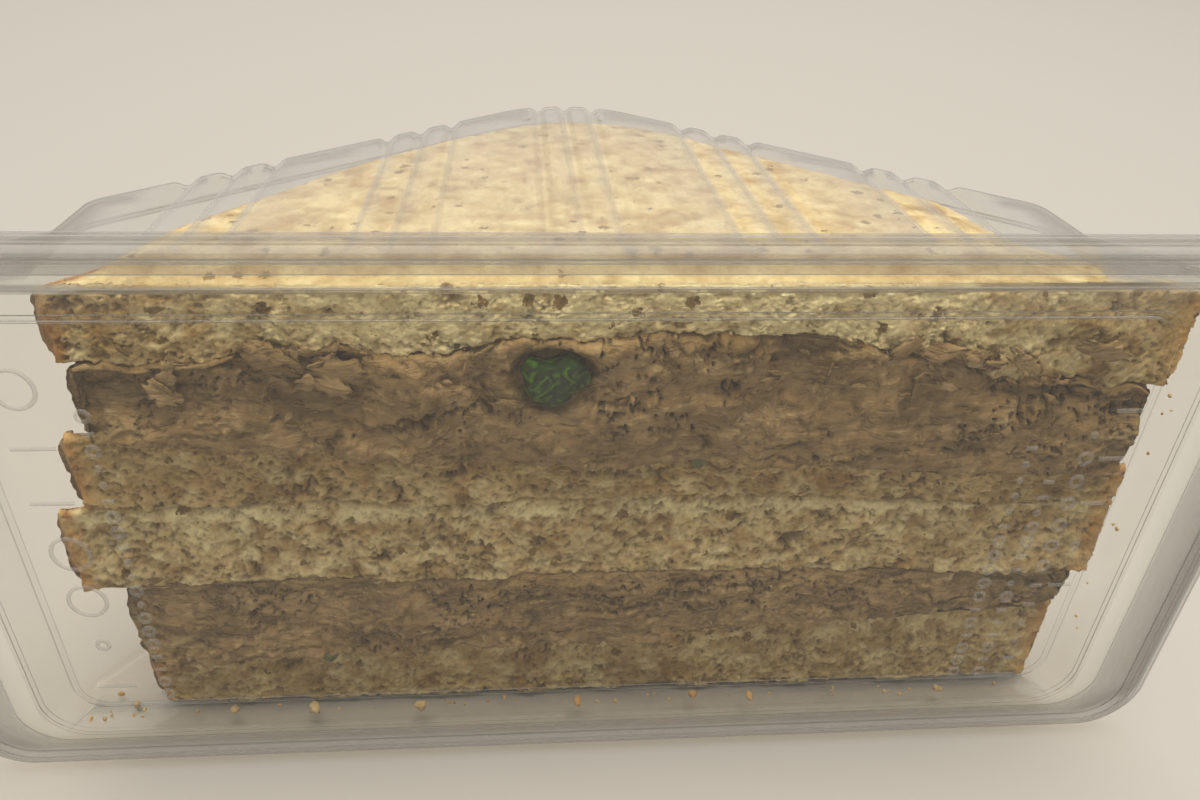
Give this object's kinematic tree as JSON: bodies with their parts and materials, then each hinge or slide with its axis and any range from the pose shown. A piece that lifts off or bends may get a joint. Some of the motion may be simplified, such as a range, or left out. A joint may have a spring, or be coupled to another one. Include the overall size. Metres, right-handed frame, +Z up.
{
  "type": "packed tuna salad sandwich",
  "caption": "Tuna salad sandwich cut corner to corner, its halves stacked in a clear wedge pack with a hinged window lid.",
  "frame": {"origin": "bottom of the bounding box, in the middle of its width and depth, so the pack stands on z = 0", "axes": "+X along the window to the right as seen from the front, +Y back from the window towards the crusts, +Z up"},
  "size_m": [0.183, 0.0956, 0.088],
  "materials": {
    "clear_plastic": "clear formed sheet",
    "bread": "open crumb with a browned crust",
    "tuna_salad": "moist flakes",
    "green_pepper": "wet and slightly translucent"
  },
  "bodies": {
    "pack": {"tray": "clear_plastic", "bread_slice_1": "bread", "bread_slice_2": "bread", "bread_slice_3": "bread", "bread_slice_4": "bread", "tuna_salad_upper": "tuna_salad", "tuna_salad_lower": "tuna_salad", "green_pepper_piece": "green_pepper"},
    "window_lid": {"lid": "clear_plastic"}
  },
  "joints": [
    {"name": "lid_hinge", "type": "hinge", "parent": "pack", "child": "window_lid", "pos_m": [0, -0.03707, 0.0879], "axis": [-1, 0, 0], "range_deg": [0, 170]}
  ]
}
